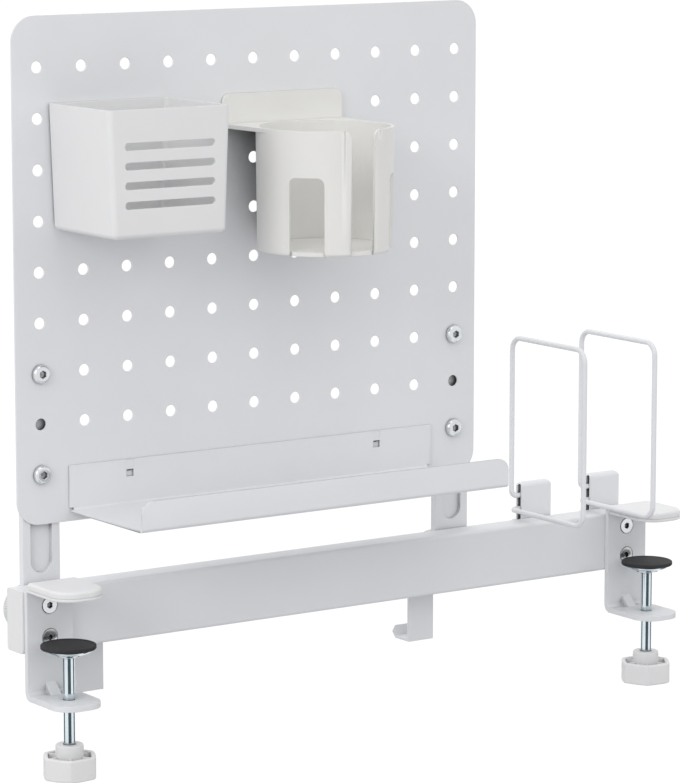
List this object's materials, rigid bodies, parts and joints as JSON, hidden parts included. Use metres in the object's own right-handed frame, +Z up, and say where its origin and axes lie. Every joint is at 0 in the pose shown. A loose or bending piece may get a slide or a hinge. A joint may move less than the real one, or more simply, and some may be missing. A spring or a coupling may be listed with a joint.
{
  "type": "clamp-on pegboard desk organizer",
  "caption": "Upright perforated sheet on a clamp-on desk rail, with a hung bin, cup holder and tray, wire bookends and bag hooks for sorting desk items.",
  "frame": {"origin": "midway between the two clamps, where the desk's edge meets its upper face", "axes": "+X along the desk's edge to the user's right, +Y away from the user behind the desk's edge, +Z up"},
  "size_m": [0.5606, 0.1353, 0.532],
  "materials": {
    "sheet_coat": "fine matte powder coat, cool white",
    "rail_coat": "fine matte powder coat, cool white",
    "bright_steel": "bright zinc plate",
    "polished_steel": "polished nickel plate",
    "knob_plastic": "moulded, fine spark texture",
    "sleeve_plastic": "soft dull skin",
    "bin_plastic": "moulded, fine spark texture",
    "cup_plastic": "moulded, fine spark texture",
    "pad_rubber": "dull black"
  },
  "bodies": {
    "base": {"rail": "rail_coat", "rail_end_caps": "knob_plastic", "left_clamp_bracket": "sheet_coat", "left_jaw_sleeve": "sleeve_plastic", "left_mounting_screws": "bright_steel", "left_nut_plate": "bright_steel", "right_clamp_bracket": "sheet_coat", "right_jaw_sleeve": "sleeve_plastic", "right_mounting_screws": "bright_steel", "right_nut_plate": "bright_steel"},
    "board_unit": {"board": "sheet_coat", "left_post": "sheet_coat", "right_post": "sheet_coat", "board_bolts": "bright_steel", "board_spacers": "bright_steel", "board_nuts": "bright_steel", "post_rail_bolts": "bright_steel", "post_washers": "bright_steel"},
    "left_post_knob": {"left_post_knob": "knob_plastic"},
    "right_post_knob": {"right_post_knob": "knob_plastic"},
    "bin": {"bin": "bin_plastic"},
    "cup_holder": {"cup_holder": "cup_plastic"},
    "shelf": {"shelf": "sheet_coat"},
    "left_hook": {"left_bag_hook": "sheet_coat", "left_hook_bolt": "bright_steel"},
    "left_hook_nut": {"left_hook_nut": "knob_plastic"},
    "right_hook": {"right_bag_hook": "sheet_coat", "right_hook_bolt": "bright_steel"},
    "right_hook_nut": {"right_hook_nut": "knob_plastic"},
    "inner_bookend": {"inner_bookend_clip": "sheet_coat", "inner_bookend_loop": "sheet_coat", "inner_bookend_bolt": "bright_steel"},
    "inner_bookend_knob": {"inner_bookend_knob": "knob_plastic"},
    "outer_bookend": {"outer_bookend_clip": "sheet_coat", "outer_bookend_loop": "sheet_coat", "outer_bookend_bolt": "bright_steel"},
    "outer_bookend_knob": {"outer_bookend_knob": "knob_plastic"},
    "left_pad": {"left_pad_rubber": "pad_rubber", "left_pad_cup": "polished_steel"},
    "left_screw": {"left_clamp_screw": "polished_steel", "left_clamp_knob": "knob_plastic"},
    "right_pad": {"right_pad_rubber": "pad_rubber", "right_pad_cup": "polished_steel"},
    "right_screw": {"right_clamp_screw": "polished_steel", "right_clamp_knob": "knob_plastic"}
  },
  "joints": [
    {"name": "board_slide", "type": "slide", "parent": "base", "child": "board_unit", "axis": [1, 0, 0], "range_m": [-0.0012, 0.0115]},
    {"name": "left_post_knob_turn", "type": "hinge", "parent": "board_unit", "child": "left_post_knob", "pos_m": [-0.2515, 0.045, -0.023], "axis": [0, 1, 0], "range_deg": [0, 720]},
    {"name": "right_post_knob_turn", "type": "hinge", "parent": "board_unit", "child": "right_post_knob", "pos_m": [0.1085, 0.045, -0.023], "axis": [0, 1, 0], "range_deg": [0, 720]},
    {"name": "bin_lift", "type": "slide", "parent": "board_unit", "child": "bin", "axis": [0, 0, 1], "range_m": [0, 0.0035]},
    {"name": "cup_holder_lift", "type": "slide", "parent": "board_unit", "child": "cup_holder", "axis": [0, 0, 1], "range_m": [0, 0.0035]},
    {"name": "shelf_lift", "type": "slide", "parent": "board_unit", "child": "shelf", "axis": [0, 0, 1], "range_m": [0, 0.004]},
    {"name": "left_hook_slide", "type": "slide", "parent": "base", "child": "left_hook", "axis": [1, 0, 0], "range_m": [-0.0115, 0.25]},
    {"name": "left_hook_nut_turn", "type": "hinge", "parent": "left_hook", "child": "left_hook_nut", "pos_m": [-0.213, 0.032, -0.023], "axis": [0, 1, 0], "range_deg": [0, 720]},
    {"name": "right_hook_slide", "type": "slide", "parent": "base", "child": "right_hook", "axis": [1, 0, 0], "range_m": [-0.25, 0.0012]},
    {"name": "right_hook_nut_turn", "type": "hinge", "parent": "right_hook", "child": "right_hook_nut", "pos_m": [0.0805, 0.032, -0.023], "axis": [0, 1, 0], "range_deg": [0, 720]},
    {"name": "inner_bookend_slide", "type": "slide", "parent": "base", "child": "inner_bookend", "axis": [1, 0, 0], "range_m": [-0.038, 0.0295]},
    {"name": "inner_bookend_knob_turn", "type": "hinge", "parent": "inner_bookend", "child": "inner_bookend_knob", "pos_m": [0.1905, 0.045, -0.023], "axis": [0, 1, 0], "range_deg": [0, 720]},
    {"name": "outer_bookend_slide", "type": "slide", "parent": "base", "child": "outer_bookend", "axis": [1, 0, 0], "range_m": [-0.0295, 0.0008]},
    {"name": "outer_bookend_knob_turn", "type": "hinge", "parent": "outer_bookend", "child": "outer_bookend_knob", "pos_m": [0.258, 0.045, -0.023], "axis": [0, 1, 0], "range_deg": [0, 720]},
    {"name": "left_pad_travel", "type": "slide", "parent": "base", "child": "left_pad", "axis": [0, 0, 1], "range_m": [-0.03, 0.0275]},
    {"name": "left_screw_turn", "type": "hinge", "parent": "left_pad", "child": "left_screw", "pos_m": [-0.26, -0.025, -0.08], "axis": [0, 0, 1], "range_deg": [-8650, 7930]},
    {"name": "right_pad_travel", "type": "slide", "parent": "base", "child": "right_pad", "axis": [0, 0, 1], "range_m": [-0.03, 0.0275]},
    {"name": "right_screw_turn", "type": "hinge", "parent": "right_pad", "child": "right_screw", "pos_m": [0.26, -0.025, -0.08], "axis": [0, 0, 1], "range_deg": [-8650, 7930]}
  ],
  "couplings": [
    {"joint": "left_screw_turn", "follows": "left_pad_travel", "rad_per_m": 5026.5},
    {"joint": "right_screw_turn", "follows": "right_pad_travel", "rad_per_m": 5026.5}
  ]
}
